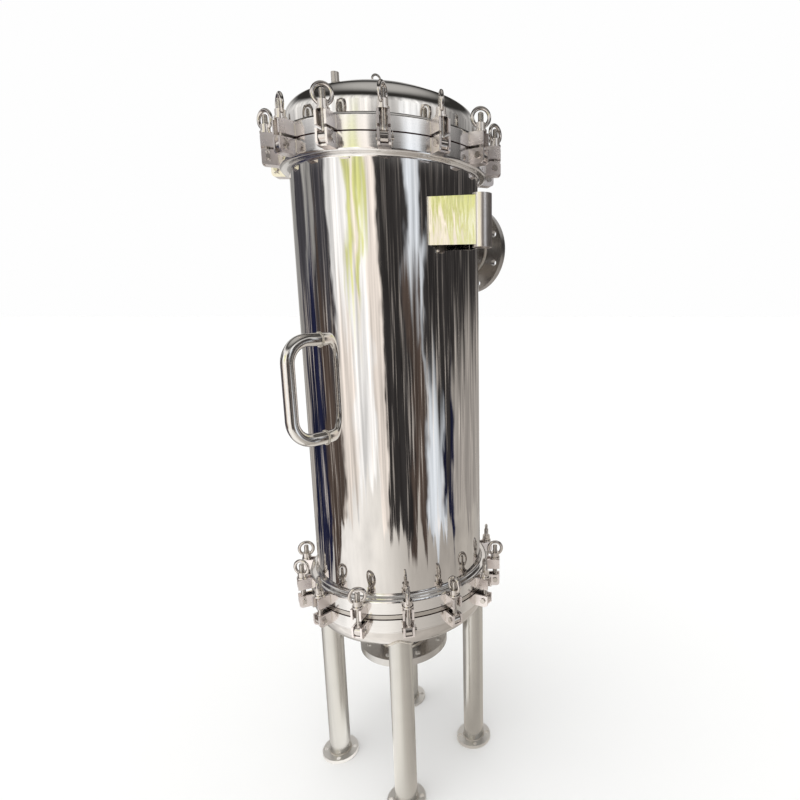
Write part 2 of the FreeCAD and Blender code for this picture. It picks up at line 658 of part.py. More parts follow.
top = closure("top", LID_SEAM, SHELL_TOP, TOP_TURN, TOP_NUT_TURNS,
              (lid_ring, LID_D), (shell_top_ring, SHELL_D))
bottom = closure("bottom", SHELL_BOTTOM, SUMP_SEAM, BOTTOM_TURN, BOTTOM_NUT_TURNS,
                 (shell_bottom_ring, SHELL_D), (sump_ring, SUMP_D))
save("lid_lugs", top["seats"])
save("shell_top_lugs", top["hinges"])
save("shell_bottom_lugs", bottom["seats"])
save("bottom_head_lugs", bottom["hinges"])
save("hinge_pins", top["pins"] + bottom["pins"])

save("inlet_pipe", inlet_pipe())
save("inlet_flange", slip_on_flange(inlet_direction(), inlet_direction() * INLET_REACH
                                    + Vector(0, 0, INLET_HEIGHT), 180 / FLANGE_HOLES))
save("outlet_pipe", outlet_pipe())
save("outlet_flange", slip_on_flange(Vector(0, 0, -1), Vector(0, 0, OUTLET_HEIGHT), 180 / FLANGE_HOLES))

for side, name in enumerate(("leg_front", "leg_right", "leg_back", "leg_left")):
    save(name, leg(side * 360 / LEG_COUNT))
save("foot_plates", [foot_plate(side * 360 / LEG_COUNT) for side in range(LEG_COUNT)])

save("carry_handle", carry_handle())
save("davit_sleeve", davit_sleeve())
save("davit_plates", davit_plates())
save("lifting_loop", lifting_loop())
save("vent_nipple", vent_nipple())

save("cartridges", [cartridge_element().translated(place) for place in cartridge_places()])
save("cartridge_caps", [cap.translated(place) for place in cartridge_places() for cap in cartridge_caps()])
save("hold_down_plate", hold_down_plate())
save("tie_rods", tie_rods())
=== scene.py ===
import json
import math

import bpy
import numpy as np
from mathutils import Matrix

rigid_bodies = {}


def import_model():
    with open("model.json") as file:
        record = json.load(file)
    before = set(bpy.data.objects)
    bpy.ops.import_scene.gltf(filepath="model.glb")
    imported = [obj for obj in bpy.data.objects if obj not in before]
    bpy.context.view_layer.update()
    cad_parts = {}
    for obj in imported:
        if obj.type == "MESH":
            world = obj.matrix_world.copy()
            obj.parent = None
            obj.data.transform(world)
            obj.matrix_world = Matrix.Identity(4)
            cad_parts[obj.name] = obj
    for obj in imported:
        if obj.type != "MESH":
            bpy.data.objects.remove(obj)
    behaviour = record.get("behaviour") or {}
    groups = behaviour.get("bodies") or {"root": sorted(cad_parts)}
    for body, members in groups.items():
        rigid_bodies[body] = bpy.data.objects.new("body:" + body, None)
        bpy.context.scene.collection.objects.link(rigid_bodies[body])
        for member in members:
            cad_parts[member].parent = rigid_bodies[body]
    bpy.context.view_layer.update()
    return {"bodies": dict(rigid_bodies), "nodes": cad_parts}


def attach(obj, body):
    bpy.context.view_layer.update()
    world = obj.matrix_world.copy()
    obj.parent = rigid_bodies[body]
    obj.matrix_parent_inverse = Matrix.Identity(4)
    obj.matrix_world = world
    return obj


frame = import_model()


# Camera. It stands 1.46 m from the vessel's axis and 1.32 m above the floor, close enough that the
# vessel narrows downwards in the picture. The shift is the picture's crop to the left.

CAMERA_PLACE = (0.07636, -1.45704, 1.31797)
CAMERA_TURNS = ((-8.120, "Z"), (-12.223, "X"), (-0.160, "Y"), (90.0, "X"))
camera_data = bpy.data.cameras.new("camera")
camera_data.sensor_width = 36.0
camera_data.lens = 24.342
camera_data.shift_x = -0.1250
camera_data.shift_y = 0.0319
camera = bpy.data.objects.new("camera", camera_data)
bpy.context.scene.collection.objects.link(camera)
camera.matrix_world = Matrix.Translation(CAMERA_PLACE)
for angle, axis in CAMERA_TURNS:
    camera.matrix_world = camera.matrix_world @ Matrix.Rotation(math.radians(angle), 4, axis)
bpy.context.scene.camera = camera


# Studio. A pale floor and a soft light from above. A mirror finish shows only what stands round it,
# so a ring of tall pale and dark screens stands out of the camera's sight, seen in reflections alone.

NOISE_SPAN = (0.3, 0.7)  # where nearly all of a noise's values lie
WHOLE = (0.0, 1.0)       # the span of a share


def linear(colour, strength=1.0):
    """Linear RGBA from an sRGB hex colour, times a strength."""
    parts = np.array([int(colour[i:i + 2], 16) for i in (1, 3, 5)]) / 255
    parts = np.where(parts <= 0.04045, parts / 12.92, ((parts + 0.055) / 1.055) ** 2.4)
    return (*(parts * strength).tolist(), 1.0)


def feed(tree, node, inputs):
    """Feeds a node's inputs, each by a plain value or by another node's output."""
    for name, value in inputs.items():
        if isinstance(value, bpy.types.NodeSocket):
            tree.links.new(value, node.inputs[name])
        else:
            node.inputs[name].default_value = value


def add_node(tree, kind, inputs=None, **settings):
    """Adds a node, sets its options and feeds its inputs."""
    node = tree.nodes.new(kind)
    for name, value in settings.items():
        setattr(node, name, value)
    feed(tree, node, inputs or {})
    return node


def joined(tree, operation, first, second):
    """Two values added, subtracted or multiplied, or read as the angle they point at."""
    return add_node(tree, "ShaderNodeMath", {0: first, 1: second}, operation=operation).outputs[0]


def ranged(tree, value, span, new_span, soft=False):
    """A value's span moved to a new one, with eased ends if soft."""
    limits = {"From Min": span[0], "From Max": span[1], "To Min": new_span[0], "To Max": new_span[1]}
    return add_node(tree, "ShaderNodeMapRange", {"Value": value, **limits},
                    interpolation_type="SMOOTHSTEP" if soft else "LINEAR").outputs[0]


def blended(tree, share, first, second):
    """Blend of two colours: the first at a share of 0, the second at 1."""
    return add_node(tree, "ShaderNodeMix", {0: share, 6: first, 7: second}, data_type="RGBA").outputs[2]


def brightened(tree, colour, factor):
    """A colour times a factor."""
    return add_node(tree, "ShaderNodeVectorMath", {0: colour, "Scale": factor}, operation="SCALE").outputs[0]


def noise_over(tree, place, scale, detail):
    """Noise over a place. scale is how often its pattern repeats in a metre along each axis."""
    sized = add_node(tree, "ShaderNodeMapping", {"Vector": place, "Scale": scale}).outputs[0]
    return add_node(tree, "ShaderNodeTexNoise", {"Vector": sized, "Scale": 1.0, "Detail": detail}).outputs[0]


def share_of(value, span):
    """How far along a span a value lies: 0 at its start, 1 at its end."""
    return (value - span[0]) / (span[1] - span[0])


def colour_ramp(tree, share, stops):
    """Colour ramp over the turn, from (azimuth, colour) stops."""
    ramp = add_node(tree, "ShaderNodeValToRGB", {"Fac": share})
    while len(ramp.color_ramp.elements) < len(stops):
        ramp.color_ramp.elements.new(0.5)
    for element, (azimuth, colour) in zip(ramp.color_ramp.elements, stops):
        element.position = share_of(azimuth, (-180, 180))
        element.color = colour
    return ramp.outputs[0]


def new_look(name):
    """A new material and its node tree."""
    look = bpy.data.materials.new(name)
    look.use_nodes = True
    return look, look.node_tree


def object_place(tree):
    """The place on a piece, in metres from the piece's origin."""
    return add_node(tree, "ShaderNodeTexCoord").outputs["Object"]


def spokes(count):
    """Unit vectors out from the upright axis, in equal steps of a whole turn."""
    turn = np.linspace(0, 2 * np.pi, count + 1)[:-1]
    return np.stack([np.cos(turn), np.sin(turn), 0 * turn], axis=1)


# The ring is one mesh: it covers the floor from near the axis out to the screens' feet, then rises.
SCREEN_RADIUS, SCREEN_HEIGHT, SCREEN_SIDES = 2.3, 3.3, 96
COVER_INNER, COVER_LIFT = 0.02, 0.0004
circle = spokes(SCREEN_SIDES)
rings = [circle * COVER_INNER + [0, 0, COVER_LIFT], circle * SCREEN_RADIUS + [0, 0, COVER_LIFT],
         circle * SCREEN_RADIUS + [0, 0, SCREEN_HEIGHT]]
here = np.arange(SCREEN_SIDES)
after = (here + 1) % SCREEN_SIDES
strip = np.stack([here, after, after + SCREEN_SIDES, here + SCREEN_SIDES], axis=1)
screens_mesh = bpy.data.meshes.new("screens")
screens_mesh.from_pydata(np.concatenate(rings).tolist(), [],
                         np.concatenate([strip, strip + SCREEN_SIDES]).tolist())
screens = bpy.data.objects.new("screens", screens_mesh)
bpy.context.scene.collection.objects.link(screens)
screens.visible_camera = False
screens.visible_diffuse = False
screens.visible_shadow = False
screens.visible_transmission = False

CHARCOAL, SLATE, NAVY, BROWN = "#333131", "#434247", "#1d2038", "#524741"
GREY, TAN, SILVER, SKY, GREEN = "#959492", "#a09b96", "#c9c6c2", "#dde4ec", "#d3d68e"
CREAM, WHITE, VALANCE = "#f5ece4", "#ffffff", "#f2f0ee"
# Each screen's first azimuth, its cloth above and below, the height of the seam between them, where it
# meets the floor (metres up the wall, or below zero, in from it), and how pale its valance is
SCREENS = [(-180, SILVER, GREY, 1.4, -0.2, 0.8), (-152, GREY, TAN, 1.0, -0.3, 0.3),
           (-130, SLATE, NAVY, 1.0, -0.9, 0.65), (-108, GREY, NAVY, 1.7, -0.95, 0.8),
           (-92, SLATE, BROWN, 1.2, -0.8, 0.75), (-68, WHITE, CREAM, 1.2, 0.1, 1.0),
           (-46, GREEN, WHITE, 1.7, 0.0, 0.85), (-39, CREAM, WHITE, 1.6, 0.0, 0.95),
           (-34, GREEN, WHITE, 2.15, 0.1, 0.85), (-22, CREAM, CREAM, 1.7, 0.0, 0.9),
           (-9, CHARCOAL, CHARCOAL, 1.0, -0.35, 0.4), (20, SKY, BROWN, 1.5, -0.1, 0.85),
           (42, CHARCOAL, SKY, 0.6, -0.3, 0.75), (64, CHARCOAL, NAVY, 0.5, -0.4, 0.65),
           (78, CHARCOAL, TAN, 0.9, 0.0, 0.15), (158, SILVER, TAN, 1.4, -0.3, 0.8)]
# The floor that the metal mirrors, by azimuth, with painted shade: pale only to the front left, darker all
# round from there
FLOOR_LIGHT_AND_SHADE = [(-180, "#9b9895"), (-120, "#8d8a87"), (-66, "#f3f1ee"), (-20, "#ece9e4"), (15, "#b9b4ae"),
               (60, "#a8a39d"), (120, "#b5b0a9"), (160, "#989591")]
CLOTH_EDGE = 2.0         # degrees over which a cloth gives way to the next, each side of the edge
SEAM_START = 8.0         # degrees past a screen's edge at which its seam is at its own height
SEAM_SPAN = (0.0, 2.0)   # metres that a ramp's 0 and 1 stand for, in the seam's height
FOOT_SPAN = (-1.0, 1.0)  # the same for the foot

look, tree = new_look("studio_screens")
tree.nodes.clear()

# The place on a screen: its azimuth, and along, the metres up the wall or, below zero, in from it
place = object_place(tree)
split = add_node(tree, "ShaderNodeSeparateXYZ", {"Vector": place})
azimuth = joined(tree, "ARCTAN2", split.outputs["X"], joined(tree, "MULTIPLY", split.outputs["Y"], -1.0))
level = add_node(tree, "ShaderNodeMapping", {"Vector": place, "Scale": (1.0, 1.0, 0.0)}).outputs[0]
reach = add_node(tree, "ShaderNodeVectorMath", {0: level}, operation="LENGTH").outputs["Value"]
along = joined(tree, "ADD", joined(tree, "SUBTRACT", reach, SCREEN_RADIUS), split.outputs["Z"])
outward = add_node(tree, "ShaderNodeVectorMath", {0: level}, operation="NORMALIZE").outputs[0]
lift = add_node(tree, "ShaderNodeCombineXYZ", {"Z": along}).outputs[0]
wrapped = add_node(tree, "ShaderNodeVectorMath", {0: outward, 1: lift}, operation="ADD").outputs[0]

# The cloths' folds, their slow drape, small bright spots, and how unevenly each hangs
fold = noise_over(tree, wrapped, (13.0, 13.0, 0.9), 5.0)
drape = noise_over(tree, wrapped, (3.5, 3.5, 2.2), 3.0)
glint = noise_over(tree, wrapped, (24.0, 24.0, 1.3), 3.0)
hang = noise_over(tree, outward, (8.0, 8.0, 0.0), 1.0)
share = joined(tree, "ADD", ranged(tree, azimuth, (-math.pi, math.pi), WHOLE),
               ranged(tree, drape, NOISE_SPAN, (-0.016, 0.016)))
ragged = joined(tree, "ADD", ranged(tree, fold, NOISE_SPAN, (-0.2, 0.2)),
                ranged(tree, hang, NOISE_SPAN, (-0.45, 0.45)))

# Two ramps hold the cloths above and below the seam, a third the seam, foot and valance of each screen
screen_ends = [screen[0] for screen in SCREENS[1:]] + [180]
cloth_above, cloth_below = [
    colour_ramp(tree, share, [(edge, linear(screen[row])) for screen, end in zip(SCREENS, screen_ends)
                              for edge in (screen[0] + CLOTH_EDGE, end - CLOTH_EDGE)])
    for row in (1, 2)]
levels = colour_ramp(tree, share, [
    (start + SEAM_START, (share_of(seam, SEAM_SPAN), share_of(foot, FOOT_SPAN), pale, 1.0))
    for start, above, below, seam, foot, pale in SCREENS])
level_of = add_node(tree, "ShaderNodeSeparateColor", {"Color": levels}).outputs
over_seam = joined(tree, "SUBTRACT", joined(tree, "ADD", along, ragged),
                   ranged(tree, level_of[0], WHOLE, SEAM_SPAN))
over_foot = joined(tree, "SUBTRACT", joined(tree, "SUBTRACT", along, ragged),
                   ranged(tree, level_of[1], WHOLE, FOOT_SPAN))

# Cloth, spots low down, the valance, and the folds' shade, which darkens to the top edge
cloth = blended(tree, ranged(tree, over_seam, (-0.3, 0.3), WHOLE, True), cloth_below, cloth_above)
spots = joined(tree, "MULTIPLY", ranged(tree, glint, (0.52, 0.76), (0.0, 0.7), True),
               ranged(tree, along, (0.9, 1.9), (1.0, 0.25), True))
cloth = blended(tree, spots, cloth, linear(CREAM))
valance = joined(tree, "MULTIPLY", ranged(tree, along, (2.05, 2.5), WHOLE, True), level_of[2])
cloth = blended(tree, valance, cloth, linear(VALANCE))
shade = joined(tree, "MULTIPLY", ranged(tree, fold, NOISE_SPAN, (0.6, 1.28)),
               ranged(tree, along, (2.7, SCREEN_HEIGHT), (1.0, 0.12), True))
cloth = brightened(tree, cloth, shade)
# The floor's painted light and shade, made uneven by the drape, gives way to the cloth at each screen's foot
floor_light_and_shade = colour_ramp(tree, share, [(start, linear(colour)) for start, colour in FLOOR_LIGHT_AND_SHADE])
ground = brightened(tree, floor_light_and_shade, ranged(tree, drape, NOISE_SPAN, (0.86, 1.1)))
both = blended(tree, ranged(tree, over_foot, (-0.06, 0.12), WHOLE, True), ground, cloth)
glow = add_node(tree, "ShaderNodeEmission", {"Color": both, "Strength": 1.3})
add_node(tree, "ShaderNodeOutputMaterial", {"Surface": glow.outputs[0]})
screens_mesh.materials.append(look)

FLOOR_HALF = 90
floor_mesh = bpy.data.meshes.new("floor")
floor_mesh.from_pydata([(-FLOOR_HALF, -FLOOR_HALF, 0), (FLOOR_HALF, -FLOOR_HALF, 0),
                        (FLOOR_HALF, FLOOR_HALF, 0), (-FLOOR_HALF, FLOOR_HALF, 0)], [], [(0, 1, 2, 3)])
floor = bpy.data.objects.new("floor", floor_mesh)
bpy.context.scene.collection.objects.link(floor)
look, tree = new_look("pale_floor")
feed(tree, tree.nodes["Principled BSDF"],
     {"Base Color": linear("#f7f7f6"), "Roughness": 0.9, "Specular IOR Level": 0.1})
floor_mesh.materials.append(look)

# The world is white to the camera, nearly so to matt surfaces, and to mirrors a dark ceiling that pales
# overhead
world = bpy.data.worlds.new("studio")
world.use_nodes = True
tree = world.node_tree
tree.nodes.clear()
ray = add_node(tree, "ShaderNodeLightPath").outputs
around = add_node(tree, "ShaderNodeTexCoord").outputs["Generated"]
upright = add_node(tree, "ShaderNodeSeparateXYZ", {"Vector": around}).outputs["Z"]
seen = blended(tree, ray["Is Camera Ray"], linear("#eeeeee"), linear("#fefefe"))
ceiling = blended(tree, ranged(tree, upright, (0.72, 1.0), WHOLE, True), linear("#353432"),
                  linear("#bdbbb8"))
sky = blended(tree, ray["Is Glossy Ray"], seen, ceiling)
glow = add_node(tree, "ShaderNodeBackground", {"Color": sky, "Strength": 1.0})
add_node(tree, "ShaderNodeOutputWorld", {"Surface": glow.outputs[0]})
bpy.context.scene.world = world
bpy.context.scene.view_settings.view_transform = "Standard"

softbox_light = bpy.data.lights.new("softbox", "SUN")
softbox_light.energy = 0.95
softbox_light.angle = math.radians(60)
softbox = bpy.data.objects.new("softbox", softbox_light)
softbox.rotation_euler = (math.radians(14), math.radians(-20), 0)
softbox.visible_glossy = False
bpy.context.scene.collection.objects.link(softbox)


# Legs. Four stainless pipes, their tops cut to the bottom head's curve and welded round. The pipe
# is satin ground, which leaves fine lines round it, and each stands on a plasma-cut foot plate.

def new_piece(name, patches, look):
    """Mesh of quads between neighbouring grid points. A patch is (grid, rows close, columns close), and
    the ends of a round patch whose rows don't close are capped."""
    points, faces, start = [], [], 0
    for grid, rows_close, columns_close in patches:
        rows, columns = grid.shape[:2]
        index = start + np.arange(rows * columns).reshape(rows, columns)
        start += rows * columns
        points.append(grid.reshape(-1, 3))
        if columns_close and not rows_close:
            faces += [index[0][::-1].tolist(), index[-1].tolist()]
        index = np.concatenate([index, index[:1]]) if rows_close else index
        index = np.concatenate([index, index[:, :1]], axis=1) if columns_close else index
        quads = [index[:-1, :-1], index[:-1, 1:], index[1:, 1:], index[1:, :-1]]
        faces += np.stack(quads, axis=-1).reshape(-1, 4).tolist()
    mesh = bpy.data.meshes.new(name)
    mesh.from_pydata(np.concatenate(points).tolist(), [], faces)
    mesh.polygons.foreach_set("use_smooth", np.ones(len(faces), bool))
    mesh.set_sharp_from_angle(angle=math.radians(40))
    mesh.materials.append(look)
    piece = bpy.data.objects.new(name, mesh)
    bpy.context.scene.collection.objects.link(piece)
    return piece


def finish_node(name, look):
    """Gives a CAD node its finish."""
    node = frame["nodes"][name]
    node.data.materials.clear()
    node.data.materials.append(look)


def at_azimuth(patches, azimuth):
    """Turns patches built along +X about the vessel's axis, to an azimuth counted from the front leg."""
    turn = math.radians(azimuth - 90)
    matrix = np.array([[math.cos(turn), -math.sin(turn), 0], [math.sin(turn), math.cos(turn), 0], [0, 0, 1]])
    return [(grid @ matrix.T, rows_close, columns_close) for grid, rows_close, columns_close in patches]


def weld_bead(path, out, radius, closed=True, ripple=0.12, sides=10):
    """Bead along a path: a round section square to it, whose radius swells and narrows every 3 mm like
    the ripples of a weld. out points away from the seam. Without ripple it is a plain wire."""
    ahead = np.roll(path, -1, 0) - np.roll(path, 1, 0) if closed else np.gradient(path, axis=0)
    ahead = ahead / np.linalg.norm(ahead, axis=1, keepdims=True)
    out = out - (out * ahead).sum(1, keepdims=True) * ahead
    out = out / np.linalg.norm(out, axis=1, keepdims=True)
    side = np.cross(ahead, out)
    step = np.linalg.norm(np.roll(path, -1, 0) - path, axis=1)
    ripple_length = 0.003
    waves = max(1, round(step.sum() / ripple_length))
    swell = 1 + ripple * np.sin(2 * np.pi * waves * np.cumsum(step) / step.sum())
    around = np.linspace(0, 2 * np.pi, sides + 1)[:-1, None]
    section = np.cos(around) * out[:, None] + np.sin(around) * side[:, None]
    return path[:, None] + radius * swell[:, None, None] * section, closed, True


def marks(tree, place, sizes, detail):
    """Noise over a piece, whose marks measure this many millimetres along X, Y and Z."""
    return noise_over(tree, place, [1000 / size for size in sizes], detail)


def finished(look, inputs, height, strength, depth):
    """Feeds a material's surface, and gives it a relief, depth metres deep, from a height of 0 to 1."""
    tree = look.node_tree
    relief = add_node(tree, "ShaderNodeBump", {"Height": height, "Strength": strength, "Distance": depth})
    feed(tree, tree.nodes["Principled BSDF"], {**inputs, "Normal": relief.outputs[0]})
    return look


def ground_steel(name, colour, roughness, lines, depth=0.00002):
    """Stainless steel ground with a belt: fine lines that run one way, a few millimetres to tens of
    millimetres long. lines is the size of one line along X, Y and Z in millimetres."""
    look, tree = new_look(name)
    place = object_place(tree)
    grain = marks(tree, place, lines, 3.0)
    patch = marks(tree, place, (45, 45, 45), 2.0)
    tone = blended(tree, patch, linear(colour, 0.94), linear(colour, 1.02))
    rough = ranged(tree, grain, NOISE_SPAN, (roughness * 0.93, roughness * 1.07))
    return finished(look, {"Metallic": 1.0, "Base Color": tone, "Roughness": rough}, grain, 1.0, depth)


def weld_steel(name):
    """Stainless weld metal, brushed clean: grey-white and rough, with a trace of straw tint left."""
    look, tree = new_look(name)
    patch = marks(tree, object_place(tree), (6, 6, 6), 4.0)
    tone = blended(tree, patch, linear("#d6ccbc"), linear("#faf8f5"))
    return finished(look, {"Metallic": 1.0, "Base Color": tone, "Roughness": 0.34}, patch, 0.6, 0.0003)


HEAD_SPRING = 0.529
HEAD_RADIUS = 0.238
HEAD_KNUCKLE = 0.048


def under_head(radius):
    """Height of the bottom head's outside at a radius: a crown as wide as the head, and a round knuckle."""
    inner = HEAD_RADIUS - HEAD_KNUCKLE
    crown = 2 * HEAD_RADIUS
    centre = HEAD_SPRING + math.sqrt((crown - HEAD_KNUCKLE) ** 2 - inner ** 2)
    meet = crown * inner / (crown - HEAD_KNUCKLE)
    knuckle = HEAD_SPRING - np.sqrt(np.maximum(HEAD_KNUCKLE ** 2 - (radius - inner) ** 2, 0))
    return np.where(radius > meet, knuckle, centre - np.sqrt(crown ** 2 - radius ** 2))


LEG_RADIUS = 0.03015
LEG_CIRCLE = 0.203
LEG_WELD = 0.0032
FOOT_THICK = 0.010
FOOT_WELD = 0.0028
satin_pipe = ground_steel("satin_ground_stainless_pipe", "#d8d6d1", 0.25, (60, 60, 1.4), 0.0000015)
cut_plate = ground_steel("brushed_stainless_plate", "#f4f2ee", 0.5, (14, 1.2, 14), 0.000006)
brushed_weld = weld_steel("brushed_stainless_weld")
spoke = spokes(320)
rim = spoke * LEG_RADIUS + [LEG_CIRCLE, 0, 0]
top = rim.copy()
top[:, 2] = under_head(np.hypot(rim[:, 0], rim[:, 1]))
beads = [weld_bead(top, spoke - [0, 0, 1], LEG_WELD),
         weld_bead(rim + [0, 0, FOOT_THICK], spoke + [0, 0, 1], FOOT_WELD)]
for side, name in enumerate(("leg_front", "leg_right", "leg_back", "leg_left")):
    finish_node(name, satin_pipe)
    piece = new_piece(name + "_welds", at_azimuth(beads, 90 * side), brushed_weld)
    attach(piece, "root")
finish_node("foot_plates", cut_plate)


# Bottom head. A dished end pressed from sheet, welded to its closure ring and mirror polished with
# it. The outlet pipe is welded in under it, with a slip-on flange turned on a lathe.

def mirror_steel(name, colour, waves, depth, haze=(0.03, 0.09)):
    """Mirror-polished stainless steel. The sheet isn't quite flat, so a reflection wavers, and the last
    buffing leaves a faint haze that runs the same way. waves is the size of one wave in millimetres."""
    look, tree = new_look(name)
    place = object_place(tree)
    wave = marks(tree, place, waves, 1.5)
    streak = marks(tree, place, [size / 7 for size in waves], 5.0)
    tone = blended(tree, streak, linear(colour, 0.93), linear(colour, 1.03))
    rough = ranged(tree, streak, (0.35, 0.7), haze)
    return finished(look, {"Metallic": 1.0, "Base Color": tone, "Roughness": rough}, wave, 1.0, depth)


def turned_steel(name, colour, centre=(0, 0, 0), tilt=(0, 0, 0)):
    """Stainless steel faced on a lathe: fine grooves round the piece's axis, drawn 2 mm apart so that
    they just show. centre is a point on that axis, and tilt turns the upright into it."""
    groove_gap = 2.0                # millimetres
    wave_repeat = 2 * math.pi / 20  # how far apart a wave texture draws its waves at a scale of 1
    look, tree = new_look(name)
    own = add_node(tree, "ShaderNodeMapping", {"Vector": object_place(tree), "Location": centre,
                                               "Rotation": tilt}, vector_type="TEXTURE").outputs[0]
    groove = add_node(tree, "ShaderNodeTexWave", {"Vector": own, "Scale": wave_repeat * 1000 / groove_gap,
                                                  "Distortion": 0.0},
                      wave_type="RINGS", rings_direction="Z").outputs[0]
    patch = marks(tree, own, (30, 30, 30), 3.0)
    tone = blended(tree, patch, linear(colour, 0.96), linear(colour, 1.02))
    rough = ranged(tree, groove, WHOLE, (0.2, 0.27))
    return finished(look, {"Metallic": 1.0, "Base Color": tone, "Roughness": rough}, groove, 1.0, 0.00002)


PIPE_RADIUS = 0.06985
OUTLET_BACK = 0.378
HEAD_WELD, OUTLET_WELD = 0.0036, 0.0040
mirror_head = mirror_steel("mirror_polished_stainless_head", "#dedad6", (90, 90, 60), 0.0002)
polished_pipe = ground_steel("polished_stainless_pipe", "#cdc8c2", 0.16, (40, 40, 1.5))
finish_node("bottom_head", mirror_head)
finish_node("outlet_pipe", polished_pipe)
finish_node("outlet_flange", turned_steel("lathe_turned_stainless_outlet", "#d3d1ce"))
spoke = spokes(720)
collar = spoke * PIPE_RADIUS
piece = new_piece("outlet_welds", [
    weld_bead(collar + [0, 0, float(under_head(PIPE_RADIUS))], spoke - [0, 0, 1], HEAD_WELD),
    weld_bead(collar + [0, 0, OUTLET_BACK], spoke + [0, 0, 1], OUTLET_WELD)], brushed_weld)
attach(piece, "root")


# Closure rings. Forged rings, turned and then polished with the shell, each joined to its shell or
# head by a ground and polished fillet weld. The gaskets between them are red silicone, painted darker
# still as the shade in the narrow gap between the rings.

SHELL_RADIUS = 0.225
LID_RADIUS = 0.229
# Each fillet's wall radius, the height of its ring's face, its size, and whether it stands on the face
FILLETS = [(HEAD_RADIUS, 0.538, 0.004, False), (SHELL_RADIUS, 0.626, 0.006, True),
           (SHELL_RADIUS, 1.6295, 0.006, False), (LID_RADIUS, 1.7025, 0.005, True)]
FILLET_SUNK = 0.0005  # how far a fillet runs into the wall and the face


def ring_fillet(wall, face, size, up):
    """Hollow fillet between an upright wall and a ring's face: a quarter circle spun round the axis."""
    sweep = np.linspace(np.pi, 1.5 * np.pi, 9)
    curve = np.stack([wall + size + size * np.cos(sweep), size + size * np.sin(sweep)], axis=1)[::-1]
    section = np.concatenate([[[wall - FILLET_SUNK, -FILLET_SUNK], [wall + size, -FILLET_SUNK]], curve,
                              [[wall - FILLET_SUNK, size]]])
    if not up:
        section = (section * [1, -1])[::-1]
    grid = section[:, None, :1] * spokes(384) + (face + section[:, None, 1:]) * [0, 0, 1]
    return grid, True, True


mirror_ring = mirror_steel("mirror_polished_stainless_ring", "#f0eeec", (300, 300, 12), 0.00001,
                           (0.12, 0.17))
for name in ("bottom_head_ring", "shell_bottom_ring", "shell_top_ring", "lid_ring"):
    finish_node(name, mirror_ring)
piece = new_piece("ring_fillets", [ring_fillet(*fillet) for fillet in FILLETS], mirror_ring)
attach(piece, "root")

rubber, tree = new_look("red_silicone_gasket")
speck = marks(tree, object_place(tree), (2.5, 2.5, 2.5), 3.0)
# Red silicone, its colour painted darker still as the shade in the narrow gap between the rings
tone = blended(tree, speck, linear("#2a0b09"), linear("#481512"))
finished(rubber, {"Base Color": tone, "Roughness": 0.55, "IOR": 1.41}, speck, 0.4, 0.0001)
finish_node("ring_gaskets", rubber)
finish_node("tube_sheet", turned_steel("lathe_turned_stainless_sheet", "#cbc6c0"))


# Cartridges. White polypropylene elements pushed into the tube sheet, with moulded caps. A sheet
# metal plate on threaded tie rods keeps them down. None of it shows while the vessel is closed.

def moulded_plastic(name, colour, roughness, grain, depth):
    """Polypropylene, white and slightly waxy. grain is the size of its surface pattern in millimetres."""
    look, tree = new_look(name)
    pattern = marks(tree, object_place(tree), grain, 2.0)
    tone = blended(tree, pattern, linear(colour, 0.8), linear(colour, 1.02))
    return finished(look, {"Base Color": tone, "Roughness": roughness, "IOR": 1.49}, pattern, 0.8, depth)


sheet_steel = ground_steel("cold_rolled_stainless_sheet", "#c9c5c0", 0.28, (25, 1.5, 25))
pleated = moulded_plastic("pleated_polypropylene", "#f1f0ea", 0.75, (2.5, 2.5, 200), 0.0012)
moulded = moulded_plastic("moulded_polypropylene", "#eeede8", 0.4, (0.8, 0.8, 0.8), 0.00005)
finish_node("cartridges", pleated)
finish_node("cartridge_caps", moulded)
finish_node("hold_down_plate", sheet_steel)
finish_node("tie_rods", ground_steel("turned_stainless_rod", "#c5c1bb", 0.25, (8, 8, 1.0)))


# Shell. Sheet rolled to a tube, welded along its length, and mirror polished lengthways, so its
# haze and its slight waves run up and down.

finish_node("shell", mirror_steel("mirror_polished_stainless_shell", "#dedbd8", (55, 55, 420), 0.00022,
                                  (0.02, 0.07)))


# Inlet. A pipe set on the shell at the back right, with a turned flange welded round its back.

def shell_seam(radius, height, count):
    """Seam round a bar that runs out of the shell along +X at a height, and the way out of the bar at
    each of its points. The shell is round, so a point's x follows from its y."""
    out = spokes(count)[:, [2, 0, 1]]
    seam = radius * out + [0, 0, height]
    seam[:, 0] = np.sqrt(SHELL_RADIUS ** 2 - seam[:, 1] ** 2)
    return seam, out


INLET_AZIMUTH = 139.0
INLET_HEIGHT = 1.489
INLET_BACK = 0.330
SHELL_WELD, INLET_WELD = 0.0036, 0.0042
finish_node("inlet_pipe", polished_pipe)
finish_node("inlet_flange", turned_steel("lathe_turned_stainless_inlet", "#c2bfbc", (0, 0, INLET_HEIGHT),
                                         (0, math.radians(90), math.radians(INLET_AZIMUTH - 90))))
at_shell, out = shell_seam(PIPE_RADIUS, INLET_HEIGHT, 720)
at_flange = at_shell.copy()
at_flange[:, 0] = INLET_BACK
beads = [weld_bead(at_shell, out + [1, 0, 0], SHELL_WELD),
         weld_bead(at_flange, out - [1, 0, 0], INLET_WELD)]
piece = new_piece("inlet_welds", at_azimuth(beads, INLET_AZIMUTH), brushed_weld)
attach(piece, "root")


# Carry handle. Round stainless bar bent to a bow, polished, and welded to the shell at both ends,
# with a coarser bead than elsewhere.

